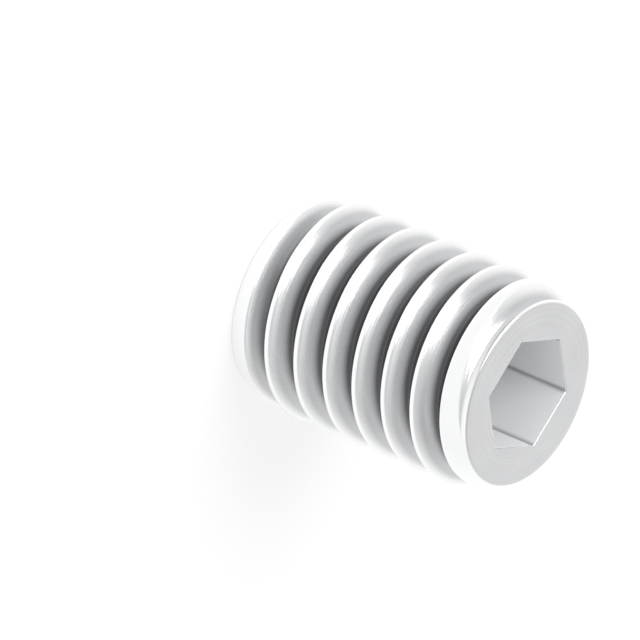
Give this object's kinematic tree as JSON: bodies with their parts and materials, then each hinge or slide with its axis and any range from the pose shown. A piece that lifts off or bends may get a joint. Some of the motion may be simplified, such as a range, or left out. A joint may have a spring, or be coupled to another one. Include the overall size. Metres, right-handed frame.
{
  "type": "grub set screw",
  "caption": "Headless set screw with a right-hand metric thread from end to end, a hexagon socket in one end and a flat point at the other.",
  "frame": {"origin": "centre of the flat point, which the screw stands on", "axes": "+Z along the screw's axis, from the flat point to the socket end; two corners of the hexagon socket lie on the X axis"},
  "size_m": [0.006, 0.006, 0.008],
  "materials": {
    "steel": "bright turned stainless steel, satin"
  },
  "bodies": {
    "root": {"set_screw": "steel"}
  },
  "joints": []
}
